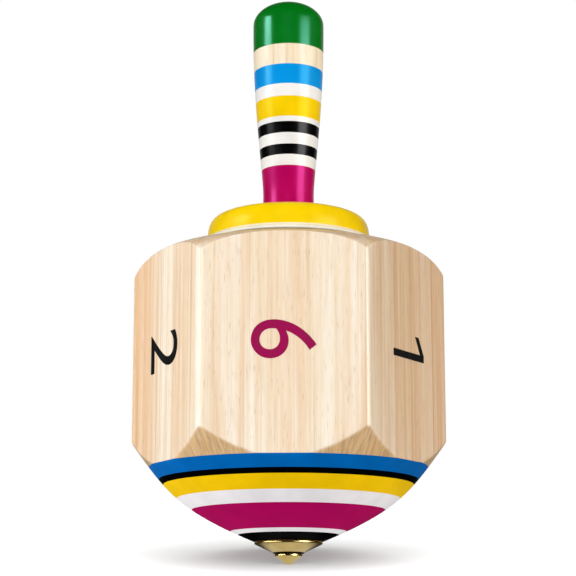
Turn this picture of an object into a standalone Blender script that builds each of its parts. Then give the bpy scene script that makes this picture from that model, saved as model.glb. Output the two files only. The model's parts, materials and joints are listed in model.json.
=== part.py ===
"""Teetotum: a six-sided wooden spinning top with a turned handle, a collar and a brass point.

Lengths are in metres and angles in degrees, with +Z up. The origin is the end of the point, where the
top touches the table, and +Z is the axis it spins about. One flat faces -Y.
"""

import math

import bpy
from mathutils import Vector
from mathutils.geometry import interpolate_bezier

# Fits
FIT_GAP = 0.00025  # between a piece and what it sits on or fits into

# Point: a blunt brass cone on a shank
SHANK_RADIUS = 0.0014
SHANK_LENGTH = 0.0160
POINT_LEDGE = 0.0009  # the cone's overhang round the shank
POINT_ANGLE = 42.0  # the cone's side above the horizontal
POINT_ROUND = 0.0009  # radius of the blunt end

# Ferrule: a brass cone with a sleeve let into the nose of the block
FERRULE_HEIGHT = 0.00152
FERRULE_END_WALL = 0.0011  # at its lower end, round the shank's bore
FERRULE_FLANGE = 0.0029  # from the sleeve out to the rim that meets the wood
FERRULE_RIM = 0.00025  # upright edge of that rim
FERRULE_SLEEVE_WALL = 0.0012
FERRULE_SLEEVE_LENGTH = 0.0040

# Block: a turned blank with six flats
ACROSS_FLATS = 0.0468
EDGE_ROUND = 0.0009  # softened corner edges between the flats
BLANK_ALLOWANCE = 0.0004  # how far the turned blank stood outside the corners
DOME_HEIGHT = 0.01761  # from the nose up to the straight part of the blank
DOME_NOSE_ANGLE = 22.3
DOME_NOSE_REACH = 0.01413  # how far the curve holds that angle
DOME_RIM_ANGLE = 54.4
DOME_RIM_REACH = 0.01125
BLANK_STRAIGHT = 0.02694
SHOULDER_RISE = 0.00569  # from the straight part up to the collar's seat
SHOULDER_RIM_ANGLE = 63.0
SHOULDER_RIM_REACH = 0.00462
SHOULDER_SEAT_ANGLE = 10.3
SHOULDER_SEAT_REACH = 0.00606
SEAT_MARGIN = 0.0002  # flat seat left showing round the collar's foot

# Collar: a low domed ring with a bevelled foot
COLLAR_RADIUS = 0.01406
COLLAR_HEIGHT = 0.00615
COLLAR_SIDE = 0.00197  # height at which the dome leaves the upright side
COLLAR_SIDE_REACH = 0.00515
COLLAR_TOP_ANGLE = 0.5
COLLAR_TOP_REACH = 0.0064
COLLAR_FOOT_SPREAD = 0.0017  # how far the foot stands out past the side
COLLAR_FOOT_HEIGHT = 0.0019
COLLAR_FOOT_EDGE = 0.00025

# Handle: a grip with a domed crown, on a tenon
TENON_RADIUS = 0.0035
TENON_LENGTH = 0.0240
TENON_CHAMFER = 0.0006
NECK_LEDGE = 0.00088  # the neck's overhang round the tenon, which holds the collar down
NECK_ANGLE = 88.4
NECK_REACH = 0.0108
GRIP_RADIUS = 0.00626
GRIP_LENGTH = 0.0386
GRIP_REACH = 0.01633
CROWN_RISE = 0.00413
CROWN_SHANK = 0.0011  # straight side between the taper and the crown

# Fineness of the turned surfaces
BLOCK_SIDES = 72
COLLAR_SIDES = 56
HANDLE_SIDES = 36
BRASS_SIDES = 36
CURVE_STEPS = 10
CROWN_STEPS = 8
ROUND_STEPS = 4

FLATS = 6


def polar(angle, length):
    """The step of that length at that angle above the horizontal, in a profile."""
    turn = math.radians(angle)
    return Vector((length * math.cos(turn), length * math.sin(turn)))


def curve(start, start_step, end_step, end, steps=CURVE_STEPS):
    """Points of one smooth curve, which leaves its ends along the two steps."""
    start = Vector(start)
    end = Vector(end)
    return interpolate_bezier(start, start + start_step, end + end_step, end, steps + 1)


def arc(radius, centre_height, first, last, steps):
    """Points round a centre on the axis, from one angle below the horizontal to another."""
    points = []
    for i in range(steps + 1):
        points.append(Vector((0, centre_height)) + polar(first + (last - first) * i / steps, radius))
    return points


# Radii and heights that follow from the sizes above
SHANK_BORE = SHANK_RADIUS + FIT_GAP
POINT_RADIUS = SHANK_RADIUS + POINT_LEDGE
POINT_HEIGHT = POINT_ROUND * (1 - math.cos(math.radians(POINT_ANGLE))) + (
    POINT_RADIUS - POINT_ROUND * math.sin(math.radians(POINT_ANGLE))
) * math.tan(math.radians(POINT_ANGLE))
SLEEVE_RADIUS = SHANK_BORE + FERRULE_SLEEVE_WALL
SLEEVE_BORE = SLEEVE_RADIUS + FIT_GAP
FERRULE_RADIUS = SLEEVE_RADIUS + FERRULE_FLANGE
TENON_BORE = TENON_RADIUS + FIT_GAP
NECK_RADIUS = TENON_RADIUS + NECK_LEDGE
FOOT_RADIUS = COLLAR_RADIUS + COLLAR_FOOT_SPREAD
SEAT_RADIUS = FOOT_RADIUS + SEAT_MARGIN
CORNER_RADIUS = ACROSS_FLATS / 2 / math.cos(math.pi / FLATS)
BLANK_RADIUS = CORNER_RADIUS + BLANK_ALLOWANCE

FERRULE_FOOT = POINT_HEIGHT + FIT_GAP
FERRULE_SEAT = FERRULE_FOOT + FERRULE_HEIGHT
NOSE = FERRULE_SEAT + FIT_GAP
DOME_RIM = NOSE + DOME_HEIGHT
SHOULDER_RIM = DOME_RIM + BLANK_STRAIGHT
SEAT = SHOULDER_RIM + SHOULDER_RISE
COLLAR_FOOT = SEAT + FIT_GAP
COLLAR_TOP = COLLAR_FOOT + COLLAR_HEIGHT
NECK = COLLAR_TOP + FIT_GAP
CROWN = NECK + GRIP_LENGTH - CROWN_RISE
SHANK_END = POINT_HEIGHT + SHANK_LENGTH
SLEEVE_END = FERRULE_SEAT + FERRULE_SLEEVE_LENGTH
TENON_END = NECK - TENON_LENGTH


def clear_scene():
    for old in list(bpy.data.objects):
        bpy.data.objects.remove(old, do_unlink=True)


def new_collection(name):
    collection = bpy.data.collections.new(name)
    bpy.context.scene.collection.children.link(collection)
    return collection


def finish(name, colour, roughness, metallic=0.0):
    material = bpy.data.materials.new(name)
    material.use_nodes = True
    shader = material.node_tree.nodes["Principled BSDF"]
    shader.inputs["Base Color"].default_value = (*colour, 1.0)
    shader.inputs["Roughness"].default_value = roughness
    shader.inputs["Metallic"].default_value = metallic
    material.diffuse_color = (*colour, 1.0)
    return material


def turned(name, profile, sides, ring, collection):
    """A profile of (radius, height) points, down its outer side, spun about the axis."""
    corners = [(point[0], 0.0, point[1]) for point in profile]
    edges = [(i, i + 1) for i in range(len(corners) - 1)]
    if ring:
        edges.append((len(corners) - 1, 0))
    mesh = bpy.data.meshes.new(name)
    mesh.from_pydata(corners, edges, [])
    piece = bpy.data.objects.new(name, mesh)
    collection.objects.link(piece)
    spin = piece.modifiers.new("Turn", "SCREW")
    spin.axis = "Z"
    spin.angle = math.tau
    spin.steps = sides
    spin.render_steps = sides
    spin.use_merge_vertices = True
    spin.merge_threshold = 0.00001
    return piece


def made_real(piece, material):
    """Replaces a piece's modifiers by the mesh they make, shaded smooth up to its hard edges."""
    graph = bpy.context.evaluated_depsgraph_get()
    mesh = bpy.data.meshes.new_from_object(piece.evaluated_get(graph))
    piece.modifiers.clear()
    piece.data = mesh
    mesh.name = piece.name
    mesh.shade_smooth()
    mesh.set_sharp_from_angle(angle=math.radians(30))
    mesh.materials.clear()
    mesh.materials.append(material)


def make_point(collection):
    base = [Vector((0.0, SHANK_END)), Vector((SHANK_RADIUS, SHANK_END)), Vector((SHANK_RADIUS, POINT_HEIGHT))]
    cone_top = [Vector((POINT_RADIUS, POINT_HEIGHT))]
    end = arc(POINT_ROUND, POINT_ROUND, POINT_ANGLE - 90, -90, ROUND_STEPS)
    end[-1].x = 0.0
    return turned("tip_point", base + cone_top + end, BRASS_SIDES, False, collection)


def make_ferrule(collection):
    end_radius = SHANK_BORE + FERRULE_END_WALL
    profile = [
        (SHANK_BORE, SLEEVE_END),
        (SLEEVE_RADIUS, SLEEVE_END),
        (SLEEVE_RADIUS, FERRULE_SEAT),
        (FERRULE_RADIUS, FERRULE_SEAT),
        (FERRULE_RADIUS, FERRULE_SEAT - FERRULE_RIM),
        (end_radius, FERRULE_FOOT),
        (SHANK_BORE, FERRULE_FOOT),
    ]
    return turned("tip_ferrule", profile, BRASS_SIDES, True, collection)


def make_prism(collection):
    """The six flats, as a prism that the turned blank is cut down to."""
    height = SEAT - NOSE + 4 * FERRULE_RADIUS
    bpy.ops.mesh.primitive_cylinder_add(
        vertices=FLATS,
        radius=CORNER_RADIUS,
        depth=height,
        location=(0, 0, (SEAT + NOSE) / 2),
        rotation=(0, 0, math.pi / FLATS),
    )
    prism = bpy.context.active_object
    prism.name = "six_flats"
    for old in list(prism.users_collection):
        old.objects.unlink(prism)
    collection.objects.link(prism)
    soften = prism.modifiers.new("Softened edges", "BEVEL")
    soften.width = EDGE_ROUND
    soften.segments = 2
    soften.limit_method = "ANGLE"
    soften.angle_limit = math.radians(45)
    prism.hide_render = True
    prism.display_type = "WIRE"
    return prism


def make_block(collection, prism):
    socket_floor = TENON_END - FIT_GAP
    shank_room = SHANK_END + FIT_GAP
    sleeve_room = SLEEVE_END + FIT_GAP
    socket = [Vector((0.0, socket_floor)), Vector((TENON_BORE, socket_floor)), Vector((TENON_BORE, SEAT))]
    shoulder = curve(
        (SEAT_RADIUS, SEAT),
        polar(-SHOULDER_SEAT_ANGLE, SHOULDER_SEAT_REACH),
        polar(180 - SHOULDER_RIM_ANGLE, SHOULDER_RIM_REACH),
        (BLANK_RADIUS, SHOULDER_RIM),
    )
    dome = curve(
        (BLANK_RADIUS, DOME_RIM),
        polar(180 + DOME_RIM_ANGLE, DOME_RIM_REACH),
        polar(DOME_NOSE_ANGLE, DOME_NOSE_REACH),
        (FERRULE_RADIUS, NOSE),
        steps=2 * CURVE_STEPS,
    )
    tip_bore = [
        Vector((SLEEVE_BORE, NOSE)),
        Vector((SLEEVE_BORE, sleeve_room)),
        Vector((SHANK_BORE, sleeve_room)),
        Vector((SHANK_BORE, shank_room)),
        Vector((0.0, shank_room)),
    ]
    block = turned("body_block", socket + shoulder + dome + tip_bore, BLOCK_SIDES, False, collection)
    flats = block.modifiers.new("Flats", "BOOLEAN")
    flats.operation = "INTERSECT"
    flats.solver = "EXACT"
    flats.object = prism
    return block


def make_collar(collection):
    top = curve(
        (TENON_BORE, COLLAR_TOP),
        polar(-COLLAR_TOP_ANGLE, COLLAR_TOP_REACH),
        polar(90, COLLAR_SIDE_REACH),
        (COLLAR_RADIUS, COLLAR_FOOT + COLLAR_SIDE),
    )
    foot = [
        Vector((COLLAR_RADIUS, COLLAR_FOOT + COLLAR_FOOT_HEIGHT)),
        Vector((FOOT_RADIUS, COLLAR_FOOT + COLLAR_FOOT_EDGE)),
        Vector((FOOT_RADIUS, COLLAR_FOOT)),
        Vector((TENON_BORE, COLLAR_FOOT)),
    ]
    return turned("collar", top + foot, COLLAR_SIDES, True, collection)


def make_handle(collection):
    crown = []
    for i in range(CROWN_STEPS):
        turn = math.pi / 2 * i / CROWN_STEPS
        crown.append(Vector((GRIP_RADIUS * math.sin(turn), CROWN + CROWN_RISE * math.cos(turn))))
    taper = curve(
        (GRIP_RADIUS, CROWN - CROWN_SHANK),
        polar(-90, GRIP_REACH),
        polar(NECK_ANGLE, NECK_REACH),
        (NECK_RADIUS, NECK),
    )
    tenon = [
        Vector((TENON_RADIUS, NECK)),
        Vector((TENON_RADIUS, TENON_END + TENON_CHAMFER)),
        Vector((TENON_RADIUS - TENON_CHAMFER, TENON_END)),
        Vector((0.0, TENON_END)),
    ]
    grip_top = [Vector((GRIP_RADIUS, CROWN))]
    return turned("handle", crown + grip_top + taper + tenon, HANDLE_SIDES, False, collection)


def main():
    clear_scene()
    parts = new_collection("teetotum")
    cutters = new_collection("teetotum_cutters")
    wood = finish("bare wood", (0.78, 0.60, 0.39), 0.45)
    yellow = finish("yellow paint", (0.95, 0.60, 0.01), 0.25)
    striped = finish("painted grip", (0.01, 0.18, 0.02), 0.25)
    brass = finish("polished brass", (0.60, 0.43, 0.16), 0.2, metallic=1.0)

    spin_axis = bpy.data.objects.new("spin_axis", None)
    parts.objects.link(spin_axis)

    prism = make_prism(cutters)
    block = make_block(parts, prism)
    collar = make_collar(parts)
    handle = make_handle(parts)
    ferrule = make_ferrule(parts)
    point = make_point(parts)
    bpy.context.view_layer.update()

    made_real(block, wood)
    made_real(collar, yellow)
    made_real(handle, striped)
    made_real(ferrule, brass)
    made_real(point, brass)
    for turning in (block, collar, handle, ferrule):
        turning.parent = spin_axis


main()
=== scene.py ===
"""The looks of a teetotum: a six-sided wooden top with painted bands, a collar, a grip and a brass point.

Lengths are in metres and angles in degrees. The frame gives every piece its place: the origin is the end
of the point, +Z runs up the spin axis and one flat faces -Y. A profile is a list of (radius, height) points.
"""

import json
import math

import bmesh
import bpy
from mathutils import Matrix, Vector
from mathutils.geometry import interpolate_bezier


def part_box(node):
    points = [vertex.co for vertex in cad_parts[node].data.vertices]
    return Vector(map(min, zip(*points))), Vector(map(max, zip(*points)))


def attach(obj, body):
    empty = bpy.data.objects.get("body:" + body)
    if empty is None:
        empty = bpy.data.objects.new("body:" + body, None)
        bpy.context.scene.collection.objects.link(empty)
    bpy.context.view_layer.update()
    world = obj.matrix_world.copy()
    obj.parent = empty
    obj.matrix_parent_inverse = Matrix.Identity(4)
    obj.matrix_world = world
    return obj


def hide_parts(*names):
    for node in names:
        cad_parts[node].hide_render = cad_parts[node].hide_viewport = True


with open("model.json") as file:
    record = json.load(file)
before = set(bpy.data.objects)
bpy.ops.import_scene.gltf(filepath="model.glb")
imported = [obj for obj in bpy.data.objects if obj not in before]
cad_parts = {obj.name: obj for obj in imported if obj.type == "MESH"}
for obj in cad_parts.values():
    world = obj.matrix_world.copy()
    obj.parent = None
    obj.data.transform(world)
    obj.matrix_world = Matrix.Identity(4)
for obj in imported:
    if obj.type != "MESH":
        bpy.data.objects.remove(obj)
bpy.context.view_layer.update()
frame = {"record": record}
block_low, block_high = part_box("body_block")
collar_low, collar_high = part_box("collar")
handle_low, handle_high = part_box("handle")
ferrule_low, ferrule_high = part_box("tip_ferrule")
point_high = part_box("tip_point")[1]

# Fits
CLOSED_FIT = 0.00003  # what is left between pieces that are glued together
FIT_GAP = 0.00025  # round the shank, which turns on its own body
SHANK_RADIUS = 0.0014
SLEEVE_RADIUS = 0.00285
TENON_RADIUS = 0.0035
SHANK_BORE = SHANK_RADIUS + FIT_GAP
SLEEVE_BORE = SLEEVE_RADIUS + FIT_GAP
TENON_BORE = TENON_RADIUS + FIT_GAP

# Block
FLATS = 6
APOTHEM = block_high.y
BLANK_SPARE = 0.0004  # how far the turned outline goes on past the corners of the flats
BLANK_RADIUS = APOTHEM / math.cos(math.pi / FLATS) + BLANK_SPARE
SEAT = block_high.z
SEAT_MARGIN = 0.0002  # how far the seat reaches past the collar
SEAT_RADIUS = collar_high.x + SEAT_MARGIN
NOSE = block_low.z
NOSE_RADIUS = ferrule_high.x
SHOULDER_RISE = 0.00569
DOME_HEIGHT = 0.01761
CORNER_SETBACK = 0.0008  # how far from a corner its rounding starts
SOFT_EDGE = 0.00045  # the same, where a flat meets the dome
CRISP_EDGE = 0.0002  # the same, where a flat meets the shoulder
SUPPORT = 0.00015  # a line kept this close to each rounding, which holds the flats flat
LEAST_TONGUE = 0.0002  # bare dome narrower than this, between the paint and a flat, is left out
TONGUE_SHARE = 0.7  # the most of a short tongue that its rounding takes
SHOULDER_GRAIN_AND_SHADE = 0.5  # how much of the end grain tone and painted shade the shoulder takes, against the dome

# Collar, with heights above its lowest point
COLLAR_RADIUS = 0.01406
COLLAR_SIDE_TOP = 0.00197
COLLAR_FOOT_TOP = 0.00155
COLLAR_BEAD = 0.00035
COLLAR_UNDERCUT = 0.0010
FOOT_REACH = 0.9  # the share of the radius outside which the foot is painted

# Grip
CROWN_RISE = 0.00413
CROWN_SIDE = 0.0011  # the upright side under the crown
NECK_HEIGHT = 0.0034  # above the collar, where the grip is thinnest
NECK_RADIUS = 0.00443
GRIP_FOOT_RADIUS = 0.00463
TENON_CHAMFER = 0.0006

# Brass
FERRULE_RIM = 0.00035
LIP_RADIUS = 0.00265
POINT_TOP = ferrule_low.z - FIT_GAP
POINT_RIM = 0.0004
POINT_END_RADIUS = 0.0009
POINT_END_START = -48.0  # the angle at which the cone runs into the round end
BRASS_EDGE = 0.0001

# Where the colours end, as heights: down the grip, then down the dome
GRIP_BANDS = (
    ("green", 0.08993),
    ("cream wood", 0.08626),
    ("sky blue", 0.08273),
    ("white", 0.08051),
    ("yellow", 0.07694),
    ("white", 0.07599),
    ("black", 0.07404),
    ("white", 0.07204),
    ("black", 0.07022),
    ("white", 0.06831),
    ("magenta", handle_low.z),
)
DOME_BANDS = (
    ("blue", 0.01417),
    ("black", 0.01331),
    ("yellow", 0.01103),
    ("white", 0.00912),
    ("magenta", 0.00554),
    ("white", 0.00497),
    ("black", NOSE),
)
DOME_PAINT_TOP = 0.01624

# Colours: each paint of the grip has its colour, its gloss, and the tint that it gives to what it mirrors
GRIP_PAINTS = {
    "green": ((0.0, 0.168, 0.006), 0.86, (0.28, 1.0, 0.84)),
    "sky blue": ((0.0, 0.28, 0.75), 0.46, (0.16, 0.92, 1.0)),
    "white": ((0.84, 0.84, 0.84), 0.3, (1.0, 1.0, 1.0)),
    "yellow": ((0.88, 0.59, 0.001), 0.31, (0.85, 1.0, 0.10)),
    "black": ((0.0008, 0.0008, 0.0008), 0.24, (1.0, 1.0, 1.0)),
    "magenta": ((0.46, 0.001, 0.105), 0.82, (1.0, 0.12, 0.64)),
}
DOME_PAINTS = {
    "blue": (0.0, 0.130, 0.47),
    "black": (0.0008, 0.0008, 0.0008),
    "yellow": (0.96, 0.60, 0.002),
    "white": (0.93, 0.90, 0.93),
    "magenta": (0.46, 0.001, 0.105),
}
SATIN_GLOSS = 0.01
SATIN_ROUGHNESS = 0.42
GLOSS_HUE = 0.55  # how much of its own hue any other paint gives to what it mirrors
BLOCK_PALE = (0.915, 0.81, 0.655)
BLOCK_WARM = (0.865, 0.69, 0.495)
GRIP_PALE = (0.86, 0.785, 0.625)
GRIP_WARM = (0.835, 0.735, 0.545)
WHITE = (1.0, 1.0, 1.0)

# Painted shade on the block round its collar: how far past the seat it is full and gone, and its heights
SEAT_SHADE_FULL = 0.0012
SEAT_SHADE_GONE = 0.0045
SEAT_SHADE_BOTTOM = 0.045
SEAT_SHADE_TOP = 0.050

# Numerals, for flat_1 and on round the block
NUMERALS = ("6", "1", "5", "3", "4", "2")
NUMERAL_HEIGHT = 0.0105
NUMERAL_STROKE = 0.0012
INK_DEPTH = 0.00003  # how far the ink goes into the wood, and how far it stands out

# Stage
FLOOR_RADIUS = 0.16
FLOOR_FADE = (0.05, 0.155)  # how far from the point the floor starts to thin out, and is gone
FLOOR_TILT = 9.4
FLOOR_GLOW = 0.28
# the floor's glow as gloss sees it is a painted reflection: bright close to the point, dark further out
FLOOR_IN_GLOSS = 0.6  # close to the point, which mirrors it
FAR_FLOOR_IN_GLOSS = 0.04
NEAR_FLOOR = (0.004, 0.0075)  # how far from the point that change starts and ends
FLOOR_BOUNCE = 0.85
FILL_LIGHT = 0.36
FILL_FROM_ABOVE = 0.35  # the share of the fill that comes from above
LAMP_TARGET = Vector((0, 0, (SEAT + NOSE) / 2))

# Camera
CAMERA_TARGET = Vector((-0.000087, 0, 0.047483))
CAMERA_AZIMUTH = 1.9
CAMERA_ELEVATION = -11.613
CAMERA_DISTANCE = 0.3137
CAMERA_LENS = 113.08

# Fineness
CURVE_STEPS = 240
FLAT_COLUMNS = 26
CORNER_COLUMNS = 6
EDGE_ROWS = 5
SHOULDER_ROWS = 14
FLAT_ROWS = 12
TONGUE_ROWS = 10
DOME_ROWS = 26
CROWN_ROWS = 20
BRASS_EDGE_ROWS = 3
POINT_END_ROWS = 8
GRIP_SIDES = 128
COLLAR_SIDES = 144
BRASS_SIDES = 96
FLOOR_SIDES = 96


def polar(angle, length):
    """The step of that length at that angle above the horizontal, in a profile."""
    turn = math.radians(angle)
    return Vector((length * math.cos(turn), length * math.sin(turn)))


def curve(start, start_step, end_step, end, steps=CURVE_STEPS):
    """A profile along one smooth curve, which leaves its ends along the two steps."""
    start = Vector(start)
    end = Vector(end)
    return interpolate_bezier(start, start + start_step, end + end_step, end, steps + 1)


def part_of(profile, axis, first, last):
    """The part of a profile between two radii (axis 0) or two heights (axis 1), which rise along it."""
    part = []
    for here, there in zip(profile, profile[1:]):
        for limit in (first, last):
            if here[axis] <= limit < there[axis]:
                part.append(here.lerp(there, (limit - here[axis]) / (there[axis] - here[axis])))
        if first < there[axis] < last:
            part.append(there)
    return part


def lengths_along(profile):
    """The length of a profile up to each of its points."""
    lengths = [0.0]
    for here, there in zip(profile, profile[1:]):
        lengths.append(lengths[-1] + (there - here).length)
    return lengths


def spaced(profile, steps, left_off=0.0):
    """That many even steps along a profile, which stop a little before its end."""
    lengths = lengths_along(profile)
    reach = lengths[-1] - left_off
    points = []
    for step in range(steps + 1):
        wanted = reach * step / steps
        i = 0
        while i < len(lengths) - 2 and lengths[i + 1] < wanted:
            i += 1
        share = (wanted - lengths[i]) / (lengths[i + 1] - lengths[i])
        points.append(profile[i].lerp(profile[i + 1], share))
    return points


def rounding(start, corner, end, steps):
    """A rounded corner in a profile."""
    one = start.lerp(corner, 2 / 3)
    two = end.lerp(corner, 2 / 3)
    return interpolate_bezier(start, one, two, end, steps + 1)


def with_lines(profile, bands):
    """A profile with points added where one band's colour meets the next."""
    heights = [lower_end for _, lower_end in bands]
    points = [profile[0]]
    for here, there in zip(profile, profile[1:]):
        crossed = [h for h in heights if min(here.y, there.y) < h < max(here.y, there.y)]
        for height in sorted(crossed, reverse=here.y > there.y):
            points.append(here.lerp(there, (height - here.y) / (there.y - here.y)))
        points.append(there)
    return points


# The block's turned outline, above and below its flats, from the axis side outwards
SHOULDER = curve(
    start=(SEAT_RADIUS, SEAT),
    start_step=polar(-10.3, 0.00606),
    end_step=polar(180 - 63.0, 0.00462),
    end=(BLANK_RADIUS, SEAT - SHOULDER_RISE),
)
DOME = curve(
    start=(NOSE_RADIUS, NOSE),
    start_step=polar(22.3, 0.01413),
    end_step=polar(180 + 54.4, 0.01125),
    end=(BLANK_RADIUS, NOSE + DOME_HEIGHT),
)


# Steps that the finishes, the floor and the world are made with


def add_node(owner, kind, sockets, **settings):
    """Adds a node. A value in sockets is set on that socket, and an output in it is linked to it."""
    tree = owner.node_tree
    node = tree.nodes.new(kind)
    for name, value in settings.items():
        setattr(node, name, value)
    for name, value in sockets.items():
        if isinstance(value, bpy.types.NodeSocket):
            tree.links.new(value, node.inputs[name])
        else:
            node.inputs[name].default_value = value
    return node


def new_finish(name):
    """An empty material, with its shader, and the coordinates that its patterns read."""
    material = bpy.data.materials.new(name)
    material.use_nodes = True
    shader = material.node_tree.nodes["Principled BSDF"]
    coordinates = add_node(material, "ShaderNodeTexCoord", {})
    return material, shader, coordinates.outputs["Object"]


def feed(material, output, shader, socket):
    material.node_tree.links.new(output, shader.inputs[socket])


def numbers(owner, operation, *values):
    """Works out a number from numbers."""
    node = add_node(owner, "ShaderNodeMath", dict(enumerate(values)), operation=operation)
    return node.outputs["Value"]


def vectors(owner, operation, *values):
    """Works out a vector from vectors."""
    node = add_node(owner, "ShaderNodeVectorMath", dict(enumerate(values)), operation=operation)
    return node.outputs["Vector"]


def length_of(owner, vector):
    return add_node(owner, "ShaderNodeVectorMath", {0: vector}, operation="LENGTH").outputs["Value"]


def parts_of(owner, vector):
    """A vector's parts along X, Y and Z."""
    return add_node(owner, "ShaderNodeSeparateXYZ", {"Vector": vector}).outputs


def spread(owner, value, low, high, to_low=0.0, to_high=1.0):
    """A value's range from low to high, spread over another range."""
    sockets = {"Value": value, "From Min": low, "From Max": high, "To Min": to_low, "To Max": to_high}
    return add_node(owner, "ShaderNodeMapRange", sockets).outputs["Result"]


def noise(material, place, scale, detail=2.0, roughness=0.5):
    """Cloudy noise, whose scale along X, Y and Z is in features a metre."""
    stretched = add_node(material, "ShaderNodeMapping", {"Vector": place, "Scale": scale})
    sockets = {
        "Vector": stretched.outputs["Vector"],
        "Scale": 1.0,
        "Detail": detail,
        "Roughness": roughness,
    }
    return add_node(material, "ShaderNodeTexNoise", sockets).outputs["Fac"]


def tint(material, share, colour_from, colour_to, blend="MIX"):
    """A colour that goes from one to the other with the share, or is multiplied by the other."""
    node = add_node(material, "ShaderNodeMix", {0: share}, data_type="RGBA", blend_type=blend)
    for index, colour in ((6, colour_from), (7, colour_to)):
        if isinstance(colour, bpy.types.NodeSocket):
            material.node_tree.links.new(colour, node.inputs[index])
        else:
            node.inputs[index].default_value = (*colour, 1.0)
    return node.outputs[2]


def relief(material, height, depth, over=None):
    """A surface relief of that depth, laid over another one if given."""
    sockets = {"Height": height, "Distance": depth, "Strength": 1.0}
    if over is not None:
        sockets["Normal"] = over
    return add_node(material, "ShaderNodeBump", sockets).outputs["Normal"]


def shade_of(colour, *factors):
    """A colour with each of its channels multiplied."""
    return tuple(min(1.0, channel * factor) for channel, factor in zip(colour, factors))


def any_of(owner, path, *rays):
    """1 for a ray of any of those kinds, and 0 for the others."""
    found = path[rays[0]]
    for ray in rays[1:]:
        found = numbers(owner, "MAXIMUM", found, path[ray])
    return found


# Finishes


def growth_layers(material, place):
    """Rings round a pith that lies outside the block, drawn out along the grain."""
    sockets = {"Vector": place, "Location": (0.061, 0.085, 0.0), "Scale": (1, 1, 0.06)}
    from_pith = add_node(material, "ShaderNodeMapping", sockets)
    sockets = {
        "Vector": from_pith.outputs["Vector"],
        "Scale": 52.0,
        "Distortion": 4.0,
        "Detail": 2.0,
        "Detail Scale": 2.2,
    }
    rings = add_node(material, "ShaderNodeTexWave", sockets, wave_type="RINGS", rings_direction="Z")
    return rings.outputs["Fac"]


def grained_wood(name, pale, warm, roughness):
    """Pale wood with its grain along Z: growth layers, streaks, lines, flecks, fibres and open pores."""
    material, shader, place = new_finish(name)
    broad = noise(material, place, (150, 150, 9), detail=3.0)
    streaks = noise(material, place, (700, 700, 14), detail=4.0, roughness=0.62)
    lines = noise(material, place, (1500, 1500, 7), detail=1.0)
    flecks = noise(material, place, (1500, 1500, 160))
    fibres = noise(material, place, (3200, 3200, 60))
    pores = noise(material, place, (4200, 4200, 420), detail=1.0)
    light = shade_of(pale, 1.04, 1.09, 1.2)
    dark = shade_of(warm, 0.82, 0.72, 0.62)
    # each pattern, the two values between which it comes to show, how much it shows at most, and its tone
    tones = (
        (growth_layers(material, place), 0.3, 1.0, 0.5, shade_of(warm, 1.0, 0.94, 0.92)),
        (streaks, 0.48, 0.66, 0.9, light),
        (streaks, 0.46, 0.30, 0.7, dark),
        (lines, 0.61, 0.72, 0.6, shade_of(warm, 0.72, 0.58, 0.46)),
        (flecks, 0.48, 0.70, 0.2, dark),
        (fibres, 0.5, 0.25, 0.2, dark),
    )
    colour = tint(material, spread(material, broad, 0.34, 0.66), pale, warm)
    for pattern, start, end, most, tone in tones:
        colour = tint(material, spread(material, pattern, start, end, 0.0, most), colour, tone)
    open_pores = spread(material, pores, 0.64, 0.74, 0.0, 0.32)
    colour = tint(material, open_pores, colour, shade_of(warm, 0.62, 0.50, 0.38))
    dullness = spread(material, streaks, 0.3, 0.7, roughness - 0.05, roughness + 0.08)
    raised_fibres = relief(material, fibres, 0.00002)
    feed(material, colour, shader, "Base Color")
    feed(material, dullness, shader, "Roughness")
    feed(material, relief(material, open_pores, -0.00003, over=raised_fibres), shader, "Normal")
    shader.inputs["Specular IOR Level"].default_value = 0.15
    return material, shader, place, colour


def painted_side_shade(material, place, colour):
    """The wood's colour, darkened and warmed towards the block's right and left sides as painted shade."""
    across = parts_of(material, place)["X"]
    # painted shade: the far parts of the side flats made darker and warmer, as if less light reached them
    right = spread(material, across, 0.012, 0.025, 0.0, 0.75)
    left = spread(material, across, -0.0205, -0.0262, 0.0, 0.95)
    sides = numbers(material, "MAXIMUM", right, left)
    return tint(material, sides, colour, (0.92, 0.715, 0.535), blend="MULTIPLY")


def end_grain_dashes(material, place):
    """Short strokes up the slope, as turned end grain shows them: noise round the axis and along Z."""
    around = vectors(material, "NORMALIZE", vectors(material, "MULTIPLY", place, (1, 1, 0)))
    ring = vectors(material, "MULTIPLY", around, (APOTHEM,) * 3)
    upright = vectors(material, "MULTIPLY", place, (0, 0, 1))
    rolled = vectors(material, "ADD", ring, upright)
    strokes = noise(material, rolled, (2400, 2400, 360), detail=3.0)
    return spread(material, strokes, 0.42, 0.70)


def tan_end_grain_and_shade(material, place, colour):
    """The wood's colour, made tan where the turned slopes cut across the grain: end grain, and painted shade
    on the downward-facing dome.
    """
    end_grain_and_shade_share = add_node(material, "ShaderNodeAttribute", {}, attribute_name="end_grain_and_shade").outputs["Fac"]
    plain = shade_of(BLOCK_WARM, 0.84, 0.67, 0.42)
    dash = shade_of(BLOCK_WARM, 0.57, 0.415, 0.24)
    tan = tint(material, end_grain_dashes(material, place), plain, dash)
    return tint(material, spread(material, end_grain_and_shade_share, 0.2, 0.6, 0.0, 0.9), colour, tan)


def painted_seat_shade(material, place, colour):
    """The wood's colour, darkened on the shoulder close to the collar as painted shade."""
    radius = length_of(material, vectors(material, "MULTIPLY", place, (1, 1, 0)))
    near = spread(material, radius, SEAT_RADIUS + SEAT_SHADE_GONE, SEAT_RADIUS + SEAT_SHADE_FULL, 0.0, 0.75)
    above = spread(material, parts_of(material, place)["Z"], SEAT_SHADE_BOTTOM, SEAT_SHADE_TOP)
    # painted shade where the collar sits on the shoulder
    seat_shade = numbers(material, "MULTIPLY", near, above)
    return tint(material, seat_shade, colour, shade_of(BLOCK_WARM, 0.22, 0.15, 0.08))


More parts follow.
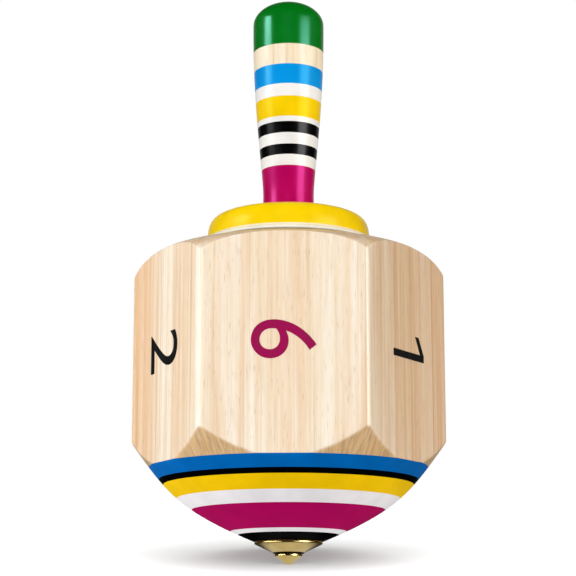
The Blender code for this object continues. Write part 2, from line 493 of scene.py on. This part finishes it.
def block_wood():
    """The block's wood, under thin clear satin."""
    material, shader, place, colour = grained_wood("pale block wood", BLOCK_PALE, BLOCK_WARM, 0.48)
    colour = painted_side_shade(material, place, colour)
    colour = tan_end_grain_and_shade(material, place, colour)
    colour = painted_seat_shade(material, place, colour)
    feed(material, colour, shader, "Base Color")
    shader.inputs["Coat Weight"].default_value = 0.8
    shader.inputs["Coat Roughness"].default_value = 0.25
    return material


def paint(name, colour, gloss, sheen=None, roughness=0.22):
    """Paint on turned wood: a little uneven, with fine turning rings and the grain just showing."""
    material, shader, place = new_finish(name)
    cloud = noise(material, place, (220, 220, 220), detail=3.0)
    thin = shade_of(colour, 0.90, 0.90, 0.90)
    dullness = spread(material, cloud, 0.3, 0.7, roughness - 0.04, roughness + 0.05)
    grain = relief(material, noise(material, place, (900, 900, 25)), 0.000006)
    rings = relief(material, noise(material, place, (60, 60, 2600), detail=1.0), 0.000003, over=grain)
    feed(material, tint(material, spread(material, cloud, 0.35, 0.65), thin, colour), shader, "Base Color")
    feed(material, dullness, shader, "Roughness")
    feed(material, rings, shader, "Normal")
    if sheen is None:
        brightest = max(colour)
        sheen = [GLOSS_HUE * channel / brightest + 1 - GLOSS_HUE for channel in colour]
    shader.inputs["Specular IOR Level"].default_value = gloss
    shader.inputs["Specular Tint"].default_value = (*sheen, 1.0)
    return material


def turned_brass(name, dull, bright):
    """Polished brass with fine turning lines round the axis."""
    material, shader, place = new_finish(name)
    cloud = noise(material, place, (500, 500, 500), detail=3.0)
    lines = noise(material, place, (40, 40, 9000))
    feed(material, tint(material, spread(material, cloud, 0.3, 0.7), dull, bright), shader, "Base Color")
    feed(material, spread(material, lines, 0.3, 0.7, 0.16, 0.28), shader, "Roughness")
    feed(material, relief(material, lines, 0.000004), shader, "Normal")
    shader.inputs["Metallic"].default_value = 1.0
    return material


def ink(name, colour):
    """Printed ink, thinner where the wood's grain takes less of it."""
    material, shader, place = new_finish(name)
    grain = noise(material, place, (1500, 1500, 40))
    worn = tuple(channel * 0.85 + 0.006 for channel in colour)
    feed(material, tint(material, spread(material, grain, 0.30, 0.55), worn, colour), shader, "Base Color")
    feed(material, spread(material, grain, 0.3, 0.7, 0.42, 0.55), shader, "Roughness")
    feed(material, relief(material, grain, 0.00001), shader, "Normal")
    shader.inputs["Specular IOR Level"].default_value = 0.1
    return material


def dome_finishes(wood):
    """The block's bare wood, then the satin paints of its dome."""
    finishes = {"wood": wood}
    for name, colour in DOME_PAINTS.items():
        finishes[name] = paint("satin " + name, colour, SATIN_GLOSS, roughness=SATIN_ROUGHNESS)
    return finishes


def collar_finishes():
    """The collar's yellow, then the white of its foot."""
    return {
        "yellow": paint("collar yellow", (1.0, 0.695, 0.001), gloss=0.2),
        "white": paint("foot white", (0.98, 0.97, 0.88), gloss=0.25),
    }


def grip_finishes(wood):
    """The block's wood for the tenon's end, then the grip's bare band and its glossy paints."""
    cream_wood = grained_wood("cream grip wood", GRIP_PALE, GRIP_WARM, 0.32)[0]
    finishes = {"wood": wood, "cream wood": cream_wood}
    for name, (colour, gloss, sheen) in GRIP_PAINTS.items():
        finishes[name] = paint("glossy " + name, colour, gloss, sheen)
    return finishes


# Modelling steps


def start_piece(name):
    """Names the primitive that was just added and puts its place in its mesh."""
    piece = bpy.context.active_object
    piece.name = name
    bpy.ops.object.transform_apply(location=True, rotation=True, scale=True)
    bpy.ops.object.mode_set(mode="EDIT")
    bpy.ops.mesh.select_mode(type="VERT")
    bpy.ops.mesh.select_all(action="SELECT")
    return piece


def close_piece(piece, crease_angle):
    """Merges a piece's seams and poles, turns its faces outwards and smooths it up to its hard edges."""
    bpy.ops.mesh.select_all(action="SELECT")
    bpy.ops.mesh.remove_doubles(threshold=0.000002)
    bpy.ops.mesh.normals_make_consistent(inside=False)
    bpy.ops.object.mode_set(mode="OBJECT")
    bpy.ops.object.shade_smooth_by_angle(angle=math.radians(crease_angle))
    return piece


def start_line(name, points):
    """Starts a piece from one point and draws its edge on through the others."""
    bpy.ops.mesh.primitive_plane_add(size=0.001, location=points[0])
    piece = start_piece(name)
    bpy.ops.mesh.merge(type="CENTER")
    for here, there in zip(points, points[1:]):
        bpy.ops.mesh.extrude_region_move(TRANSFORM_OT_translate={"value": tuple(there - here)})
    bpy.ops.mesh.select_all(action="SELECT")
    return piece


def turn_on_lathe(name, profile, sides):
    """Draws a profile out of one point and spins it round the axis."""
    bpy.ops.object.select_all(action="DESELECT")
    piece = start_line(name, [Vector((point.x, 0, point.y)) for point in profile])
    bpy.ops.mesh.spin(steps=sides, angle=math.tau, center=(0, 0, 0), axis=(0, 0, 1))
    return close_piece(piece, 35)


def paint_bands(piece, finishes, bands, painted_top, painted_radius=0.0):
    """Gives the faces outside that radius and below that height their band's finish; the rest stay first."""
    names = list(finishes)
    for finish in finishes.values():
        piece.data.materials.append(finish)
    for face in piece.data.polygons:
        centre = face.center
        if math.hypot(centre.x, centre.y) < painted_radius or centre.z > painted_top:
            continue
        for colour, lower_end in bands:
            if centre.z > lower_end:
                face.material_index = names.index(colour)
                break


# Pieces


def column_angles():
    """The angles of the block's columns round the axis: even across a flat, close together at a corner."""
    half_flat = math.atan2(APOTHEM * math.tan(math.pi / FLATS) - CORNER_SETBACK, APOTHEM)
    half_corner = math.pi / FLATS - half_flat
    inner = half_flat - SUPPORT / APOTHEM
    angles = []
    for flat in range(FLATS):
        middle = math.tau * flat / FLATS - math.pi / 2
        for i in range(FLAT_COLUMNS + 1):
            angles.append(middle - inner + 2 * inner * i / FLAT_COLUMNS)
        for i in range(CORNER_COLUMNS + 1):
            angles.append(middle + half_flat + 2 * half_corner * i / CORNER_COLUMNS)
    return angles


def flat_radius(angle):
    """How far the six flats, with their rounded corners, are from the axis at that angle."""
    half_sector = math.pi / FLATS
    off_middle = abs((angle + math.pi / 2 + half_sector) % (2 * half_sector) - half_sector)
    if APOTHEM * math.tan(off_middle) <= APOTHEM * math.tan(half_sector) - CORNER_SETBACK:
        return APOTHEM / math.cos(off_middle)
    round_radius = CORNER_SETBACK / math.tan(half_sector)
    round_centre = (APOTHEM - round_radius) / math.cos(half_sector)
    off_corner = half_sector - off_middle
    side = round_centre * math.sin(off_corner)
    return round_centre * math.cos(off_corner) + math.sqrt(round_radius**2 - side**2)


def bare_tongue(radius):
    """The dome's bare wood from the paint up to a flat at that radius, or a strip of the flat."""
    paint_edge = part_of(DOME, 1, NOSE, DOME_PAINT_TOP)[-1]
    if radius > paint_edge.x + LEAST_TONGUE:
        return part_of(DOME, 0, paint_edge.x, radius)
    return [Vector((radius, DOME_PAINT_TOP)), Vector((radius, DOME_PAINT_TOP + LEAST_TONGUE))]


def block_column(radius):
    """The profile down the block's outside where its flats lie at that radius, to the highest band."""
    shoulder = part_of(SHOULDER, 0, SEAT_RADIUS, radius)
    tongue = bare_tongue(radius)
    tongue_setback = min(SOFT_EDGE, TONGUE_SHARE * lengths_along(tongue)[-1])
    top = shoulder[-1]
    bottom = tongue[-1]
    shoulder_points = spaced(shoulder, SHOULDER_ROWS, CRISP_EDGE)
    tongue_points = spaced(tongue, TONGUE_ROWS, tongue_setback)
    flat_top = top - Vector((0, CRISP_EDGE))
    flat_bottom = bottom + Vector((0, SOFT_EDGE))
    support = Vector((0, SUPPORT))
    upper_edge = rounding(shoulder_points[-1], top, flat_top, EDGE_ROWS)
    lower_edge = rounding(flat_bottom, bottom, tongue_points[-1], EDGE_ROWS)
    face = spaced([flat_top - support, flat_bottom + support], FLAT_ROWS)
    return shoulder_points + upper_edge[1:] + face + lower_edge + tongue_points[-2::-1]


def block_columns(angles):
    """The block's profile at each angle: up its socket, down its outside, and up the bore for the tip."""
    socket_floor = handle_low.z - CLOSED_FIT
    sleeve_room = ferrule_high.z + CLOSED_FIT
    shank_room = point_high.z + FIT_GAP
    socket = [Vector((TENON_BORE, socket_floor)), Vector((TENON_BORE, SEAT))]
    tip_bore = [
        Vector((SLEEVE_BORE, NOSE)),
        Vector((SLEEVE_BORE, sleeve_room)),
        Vector((SHANK_BORE, sleeve_room)),
        Vector((SHANK_BORE, shank_room)),
    ]
    painted = with_lines(spaced(part_of(DOME, 1, NOSE, DOME_PAINT_TOP), DOME_ROWS), DOME_BANDS)
    columns = []
    for angle in angles:
        radius = flat_radius(angle)
        bands = [Vector((min(point.x, radius), point.y)) for point in painted[-2::-1]]
        columns.append(socket + block_column(radius) + bands + tip_bore)
    return columns


def mark_end_grain_and_shade(block):
    """Notes at each point how far the surface slopes across the grain, for the wood's end grain tone and
    painted shade.
    """
    end_grain_and_shade = block.data.attributes.new("end_grain_and_shade", "FLOAT", "POINT")
    for i, normal in enumerate(block.data.vertex_normals):
        slope = normal.vector.z
        # a downward slope takes the tan in full, as painted shade on the dome; an upward one takes the
        # shoulder's share
        end_grain_and_shade.data[i].value = SHOULDER_GRAIN_AND_SHADE * slope if slope > 0 else -slope


def make_block(finishes):
    """The six-sided block: each ring is drawn out of the one before, and a face closes both ends."""
    angles = column_angles()
    columns = block_columns(angles)
    bpy.ops.object.select_all(action="DESELECT")
    bpy.ops.mesh.primitive_circle_add(vertices=len(angles), radius=TENON_BORE, fill_type="NGON")
    block = start_piece("wooden_block")
    shape = bmesh.from_edit_mesh(block.data)
    column_of = shape.verts.layers.int.new("column")
    for i, vertex in enumerate(shape.verts):
        vertex[column_of] = i
    for row in range(len(columns[0])):
        if row > 0:
            bpy.ops.mesh.extrude_edges_move()
        shape = bmesh.from_edit_mesh(block.data)
        column_of = shape.verts.layers.int["column"]
        for vertex in shape.verts:
            if vertex.select:
                i = vertex[column_of]
                radius, height = columns[i][row]
                vertex.co = (radius * math.cos(angles[i]), radius * math.sin(angles[i]), height)
        bmesh.update_edit_mesh(block.data)
    bpy.ops.mesh.edge_face_add()
    close_piece(block, 40)
    block.data.attributes.remove(block.data.attributes["column"])
    paint_bands(block, finishes, DOME_BANDS, DOME_PAINT_TOP, NOSE_RADIUS)
    mark_end_grain_and_shade(block)
    return block


def make_collar(finishes):
    """The yellow domed ring under the grip, with its white foot, a bead that turns under to the seat."""
    foot = SEAT + CLOSED_FIT
    foot_top = collar_low.z + COLLAR_FOOT_TOP
    bead = Vector((collar_high.x, collar_low.z + COLLAR_BEAD))
    undercut = Vector((collar_high.x - COLLAR_UNDERCUT, foot))
    top = curve(
        start=(TENON_BORE, collar_high.z),
        start_step=polar(-6.0, 0.0064),
        end_step=polar(90, 0.00510),
        end=(COLLAR_RADIUS, collar_low.z + COLLAR_SIDE_TOP),
        steps=24,
    )
    side = spaced([top[-1], Vector((COLLAR_RADIUS, foot_top))], 3)[1:]
    flare = curve(side[-1], polar(-40, 0.0009), polar(90, 0.0005), bead, steps=8)[1:]
    under = curve(bead, polar(-90, 0.00012), polar(20, 0.0003), undercut, steps=4)[1:]
    base = [Vector((TENON_BORE, foot)), top[0]]
    collar = turn_on_lathe("yellow_collar", top + side + flare + under + base, COLLAR_SIDES)
    paint_bands(collar, finishes, (("white", SEAT),), foot_top, COLLAR_RADIUS * FOOT_REACH)
    return collar


def make_handle(finishes):
    """The turned grip with its domed crown and painted bands, on the tenon that goes into the block."""
    radius = handle_high.x
    crown = handle_high.z - CROWN_RISE
    foot = collar_high.z + CLOSED_FIT
    dome = []
    for i in range(CROWN_ROWS):
        turn = math.pi / 2 * i / CROWN_ROWS
        dome.append(Vector((radius * math.sin(turn), crown + CROWN_RISE * math.cos(turn))))
    dome.append(Vector((radius, crown)))
    taper = curve(
        start=(radius, crown - CROWN_SIDE),
        start_step=polar(-90, 0.0145),
        end_step=polar(90, 0.0040),
        end=(NECK_RADIUS, foot + NECK_HEIGHT),
        steps=44,
    )
    flare = curve(
        start=taper[-1],
        start_step=polar(-90, 0.0014),
        end_step=polar(97, 0.0012),
        end=(GRIP_FOOT_RADIUS, foot),
        steps=12,
    )
    tenon = [
        Vector((TENON_RADIUS, foot)),
        Vector((TENON_RADIUS, handle_low.z + TENON_CHAMFER)),
        Vector((TENON_RADIUS - TENON_CHAMFER, handle_low.z)),
        Vector((0.0, handle_low.z)),
    ]
    outside = with_lines(dome + taper + flare[1:], GRIP_BANDS)
    handle = turn_on_lathe("turned_grip", outside + tenon, GRIP_SIDES)
    paint_bands(handle, finishes, GRIP_BANDS, handle_high.z)
    return handle


def brass_rim(rim_top, rim_end, slope):
    """The profile down an upright brass rim to the cone under it, with both of its edges just broken."""
    inwards = Vector((BRASS_EDGE, 0))
    down = Vector((0, BRASS_EDGE))
    upper = rounding(rim_top - inwards, rim_top, rim_top - down, BRASS_EDGE_ROWS)
    lower = rounding(rim_end + down, rim_end, rim_end + slope, BRASS_EDGE_ROWS)
    return upper + lower


def make_ferrule(brass, groove_shade_brass):
    """The brass cone at the nose: an upright rim, a lip over the point that closes most of the groove and is
    painted near black as its shade, and a sleeve in the wood.
    """
    top = NOSE - CLOSED_FIT
    lip_end = POINT_TOP + CLOSED_FIT
    rim_end = Vector((NOSE_RADIUS, top - FERRULE_RIM))
    cone_end = Vector((LIP_RADIUS + BRASS_EDGE, ferrule_low.z))
    slope = BRASS_EDGE * (cone_end - rim_end).normalized()
    profile = [
        Vector((SHANK_BORE, ferrule_high.z)),
        Vector((SLEEVE_RADIUS, ferrule_high.z)),
        Vector((SLEEVE_RADIUS, top)),
    ]
    profile += brass_rim(Vector((NOSE_RADIUS, top)), rim_end, slope)
    profile += rounding(cone_end - slope, cone_end, cone_end - Vector((BRASS_EDGE, 0)), BRASS_EDGE_ROWS)
    profile += [
        Vector((LIP_RADIUS - BRASS_EDGE, lip_end)),
        Vector((SHANK_BORE, lip_end)),
        profile[0],
    ]
    ferrule = turn_on_lathe("brass_ferrule", profile, BRASS_SIDES)
    ferrule.data.materials.append(brass)
    ferrule.data.materials.append(groove_shade_brass)
    # the faces under the cone take the near-black brass: painted shade in the groove above the point
    for face in ferrule.data.polygons:
        if face.center.z < ferrule_low.z:
            face.material_index = 1
    return ferrule


def make_point(brass):
    """The blunt brass point, with an upright rim above its cone, on its shank."""
    end = []
    for i in range(POINT_END_ROWS + 1):
        angle = POINT_END_START - (90.0 + POINT_END_START) * i / POINT_END_ROWS
        end.append(Vector((0, POINT_END_RADIUS)) + polar(angle, POINT_END_RADIUS))
    end[-1].x = 0.0
    rim_top = Vector((point_high.x, POINT_TOP))
    rim_end = Vector((point_high.x, POINT_TOP - POINT_RIM))
    slope = BRASS_EDGE * (end[0] - rim_end).normalized()
    shank = [
        Vector((0.0, point_high.z)),
        Vector((SHANK_RADIUS, point_high.z)),
        Vector((SHANK_RADIUS, POINT_TOP)),
    ]
    profile = shank + brass_rim(rim_top, rim_end, slope) + end
    point = turn_on_lathe("brass_point", profile, BRASS_SIDES)
    point.data.materials.append(brass)
    return point


def draw_one():
    """The numeral 1 as a thin plate: a stem with a slanting flag, drawn out of one point and filled."""
    half = NUMERAL_HEIGHT / 2
    stem_left = NUMERAL_STROKE * 0.3
    stem_right = stem_left + NUMERAL_STROKE
    flag = half * 0.55
    flag_top = half - 0.62 * flag
    outline = [
        Vector((stem_right, -half, -INK_DEPTH)),
        Vector((stem_right, half, -INK_DEPTH)),
        Vector((stem_left, half, -INK_DEPTH)),
        Vector((stem_left - flag, flag_top, -INK_DEPTH)),
        Vector((stem_left - flag, flag_top - NUMERAL_STROKE, -INK_DEPTH)),
        Vector((stem_left, half - NUMERAL_STROKE * 1.1, -INK_DEPTH)),
        Vector((stem_left, -half, -INK_DEPTH)),
    ]
    numeral = start_line("numeral", outline)
    bpy.ops.mesh.edge_face_add()
    bpy.ops.mesh.extrude_region_move(TRANSFORM_OT_translate={"value": (0, 0, 2 * INK_DEPTH)})
    bpy.ops.object.mode_set(mode="OBJECT")
    return numeral


def type_numeral(text):
    """Any other numeral, typed and made a thin plate."""
    bpy.ops.object.text_add()
    numeral = bpy.context.active_object
    numeral.data.body = text
    numeral.data.align_x = "CENTER"
    numeral.data.extrude = INK_DEPTH
    bpy.ops.object.convert(target="MESH")
    heights = [vertex.co.y for vertex in numeral.data.vertices]
    scale = NUMERAL_HEIGHT / (max(heights) - min(heights))
    middle = (max(heights) + min(heights)) / 2
    for vertex in numeral.data.vertices:
        vertex.co = (vertex.co.x * scale, (vertex.co.y - middle) * scale, vertex.co.z)
    return numeral


def make_numeral(text, mount, finish):
    """A printed numeral on a flat, turned so that it reads downwards."""
    bpy.ops.object.select_all(action="DESELECT")
    numeral = draw_one() if text == "1" else type_numeral(text)
    numeral.name = "numeral_" + text
    outwards = Vector(mount["axis"])
    up = Vector((0, 0, 1))
    turn = Matrix((-up, up.cross(outwards), outwards)).transposed().to_4x4()
    numeral.matrix_world = Matrix.Translation(Vector(mount["pos_m"])) @ turn
    bpy.ops.object.transform_apply(location=True, rotation=True, scale=True)
    bpy.ops.object.mode_set(mode="EDIT")
    close_piece(numeral, 30)
    numeral.data.materials.append(finish)
    return numeral


def dress():
    """Makes every piece, hides the solid that it stands for and hangs the piece on its body; gives back the
    block and the grip.
    """
    wood = block_wood()
    brass = turned_brass("turned brass", (0.75, 0.52, 0.165), (0.87, 0.655, 0.25))
    # near-black brass for the ferrule's lip: painted shade in the groove
    groove_shade_brass = turned_brass("groove shade brass", (0.008, 0.005, 0.002), (0.020, 0.012, 0.005))
    block = make_block(dome_finishes(wood))
    collar = make_collar(collar_finishes())
    grip = make_handle(grip_finishes(wood))
    pieces = (
        (block, "body_block", "top", "bare_wood"),
        (collar, "collar", "top", "yellow_paint"),
        (grip, "handle", "top", "striped_paint"),
        (make_ferrule(brass, groove_shade_brass), "tip_ferrule", "top", "brass"),
        (make_point(brass), "tip_point", "point", "brass"),
    )
    for piece, node, body, slot in pieces:
        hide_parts(node)
        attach(piece, body)

    magenta_ink = ink("magenta ink", (0.33, 0.002, 0.08))
    black_ink = ink("black ink", (0.006, 0.006, 0.006))
    for text, mount in zip(NUMERALS, frame["record"]["mounts"]):
        numeral = make_numeral(text, mount, magenta_ink if text == NUMERALS[0] else black_ink)
        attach(numeral, "top")
    return block, grip


# Stage, light and camera


def make_floor():
    """A plain pale floor, tilted as the photograph's is, which thins out to the white around it."""
    bpy.ops.object.select_all(action="DESELECT")
    bpy.ops.mesh.primitive_circle_add(vertices=FLOOR_SIDES, radius=FLOOR_RADIUS, fill_type="NGON")
    floor = bpy.context.active_object
    floor.name = "floor"
    floor.rotation_euler.x = math.radians(FLOOR_TILT)
    material, shader, place = new_finish("pale floor")
    tree = material.node_tree
    distance = length_of(material, place)
    fade = spread(material, distance, *FLOOR_FADE)
    behind = add_node(material, "ShaderNodeNewGeometry", {}).outputs["Backfacing"]
    hidden = numbers(material, "MAXIMUM", fade, behind)
    clear = add_node(material, "ShaderNodeBsdfTransparent", {}).outputs["BSDF"]
    mixed = add_node(material, "ShaderNodeMixShader", {0: hidden, 1: shader.outputs["BSDF"], 2: clear})
    tree.links.new(mixed.outputs["Shader"], tree.nodes["Material Output"].inputs["Surface"])
    shader.inputs["Roughness"].default_value = 0.9
    shader.inputs["Specular IOR Level"].default_value = 0.0
    shader.inputs["Emission Color"].default_value = (*WHITE, 1.0)
    path = add_node(material, "ShaderNodeLightPath", {}).outputs
    bounced = any_of(material, path, "Is Glossy Ray", "Is Diffuse Ray")
    feed(material, tint(material, bounced, (0.2, 0.2, 0.2), (0.0, 0.0, 0.0)), shader, "Base Color")
    # painted reflection: a glow that only gloss sees, bright close to the point
    painted_reflection_glow = spread(material, distance, *NEAR_FLOOR, FLOOR_IN_GLOSS, FAR_FLOOR_IN_GLOSS)
    glow = spread(material, path["Is Glossy Ray"], 0, 1, FLOOR_GLOW, painted_reflection_glow)
    glow = numbers(material, "MULTIPLY_ADD", path["Is Diffuse Ray"], FLOOR_BOUNCE - FLOOR_GLOW, glow)
    feed(material, glow, shader, "Emission Strength")
    floor.data.materials.append(material)
    return floor


def white_light(world, strength):
    """White light from all around."""
    sockets = {"Color": (*WHITE, 1.0), "Strength": strength}
    return add_node(world, "ShaderNodeBackground", sockets).outputs["Background"]


def choose(world, share, first, second):
    """The first light where the share is 0, and the second where it is 1."""
    return add_node(world, "ShaderNodeMixShader", {0: share, 1: first, 2: second}).outputs["Shader"]


def make_world():
    """White behind the top, also in its gloss, a dark room in front, and an even fill, less from above."""
    world = bpy.data.worlds.new("white studio")
    bpy.context.scene.world = world
    world.use_nodes = True
    tree = world.node_tree
    direction = add_node(world, "ShaderNodeTexCoord", {}).outputs["Generated"]
    axes = parts_of(world, direction)
    path = add_node(world, "ShaderNodeLightPath", {}).outputs
    fill = white_light(world, spread(world, axes["Z"], 0.0, 0.9, FILL_LIGHT, FILL_LIGHT * FILL_FROM_ABOVE))
    gloss = white_light(world, spread(world, axes["Y"], 0.6, 0.95, 0.01, 0.5))
    backdrop = tree.nodes["Background"]
    backdrop.inputs["Color"].default_value = (*WHITE, 1.0)
    lit = choose(world, path["Is Glossy Ray"], fill, gloss)
    seen = any_of(world, path, "Is Camera Ray", "Is Transmission Ray")
    mixed = choose(world, seen, lit, backdrop.outputs["Background"])
    tree.links.new(mixed, tree.nodes["World Output"].inputs["Surface"])


def aim(thing, target, azimuth, elevation, distance):
    """Puts a lamp or the camera round its target and turns it there; azimuth 0 is in front, at -Y."""
    around = math.radians(azimuth)
    rise = math.radians(elevation)
    level = math.cos(rise)
    back = Vector((math.sin(around) * level, -math.cos(around) * level, math.sin(rise)))
    bpy.context.scene.collection.objects.link(thing)
    thing.location = target + distance * back
    thing.rotation_euler = back.to_track_quat("Z", "Y").to_euler()


def make_lamp(name, place, size, power, colour, lights, gloss_only):
    """A soft rectangular lamp for one group, or for all, which shows only in gloss or never in it."""
    data = bpy.data.lights.new(name, "AREA")
    data.shape = "RECTANGLE"
    data.size, data.size_y = size
    data.energy = power
    data.color = colour
    lamp = bpy.data.objects.new(name, data)
    aim(lamp, LAMP_TARGET, *place)
    lamp.visible_camera = False
    lamp.visible_glossy = gloss_only
    lamp.visible_diffuse = not gloss_only
    lamp.light_linking.receiver_collection = lights


def group_of(name, thing):
    """A group of one, for a lamp that lights it alone."""
    group = bpy.data.collections.new(name)
    group.objects.link(thing)
    return group


def make_lights(floor, grip, block):
    """Soft lamps for the top, its grip, its block and the floor, and strips and cards for the gloss."""
    floor_only = group_of("floor only", floor)
    grip_only = group_of("grip only", grip)
    block_only = group_of("block only", block)
    no_floor = group_of("all but the floor", floor)
    no_floor.collection_objects[0].light_linking.link_state = "EXCLUDE"
    # name, azimuth, elevation and distance, size, power, colour, what it lights, if for gloss only
    lamps = (
        ("left softbox", (-76, 8, 0.45), (0.34, 0.55), 0.86, (1.0, 0.95, 0.88), no_floor, False),
        ("right softbox", (60, 8, 0.45), (0.34, 0.55), 0.73, (1.0, 0.83, 0.59), no_floor, False),
        ("front key", (-4, 34, 0.80), (0.45, 0.45), 3.85, WHITE, no_floor, False),
        ("low fill", (-45, -35, 0.60), (0.40, 0.30), 0.24, WHITE, no_floor, False),
        ("left strip above", (-69, 30.5, 0.427), (0.13, 0.026), 0.12, WHITE, None, True),
        ("left strip", (-69, 24, 0.402), (0.16, 0.095), 0.30, WHITE, None, True),
        ("left strip below", (-68, 0, 0.40), (0.14, 0.15), 0.08, WHITE, None, True),
        ("right strip", (57, 3, 0.39), (0.22, 0.37), 1.45, WHITE, None, True),
        ("left low card", (-57, 0, 0.40), (0.48, 0.035), 0.40, WHITE, None, True),
        ("right low card", (53, 0, 0.40), (0.48, 0.035), 0.20, WHITE, None, True),
        ("left rim", (-78, 10, 0.40), (0.20, 0.40), 0.3, WHITE, grip_only, False),
        ("right rim", (78, 10, 0.40), (0.20, 0.40), 0.5, WHITE, grip_only, False),
        ("left of the block", (-84, 0, 0.40), (0.20, 0.30), 0.54, (1.0, 0.99, 0.95), block_only, False),
        ("over the floor", (5, 47, 0.40), (0.9, 0.9), 32.0, WHITE, floor_only, False),
    )
    for lamp in lamps:
        make_lamp(*lamp)


def make_camera():
    """The photograph's view, from a little below."""
    data = bpy.data.cameras.new("camera")
    data.lens = CAMERA_LENS
    data.sensor_width = 36
    data.clip_start = 0.01
    camera = bpy.data.objects.new("camera", data)
    aim(camera, CAMERA_TARGET, CAMERA_AZIMUTH, CAMERA_ELEVATION, CAMERA_DISTANCE)
    bpy.context.scene.camera = camera


wooden_block, turned_grip = dress()
make_world()
make_lights(make_floor(), turned_grip, wooden_block)
make_camera()
bpy.context.scene.view_settings.view_transform = "Standard"
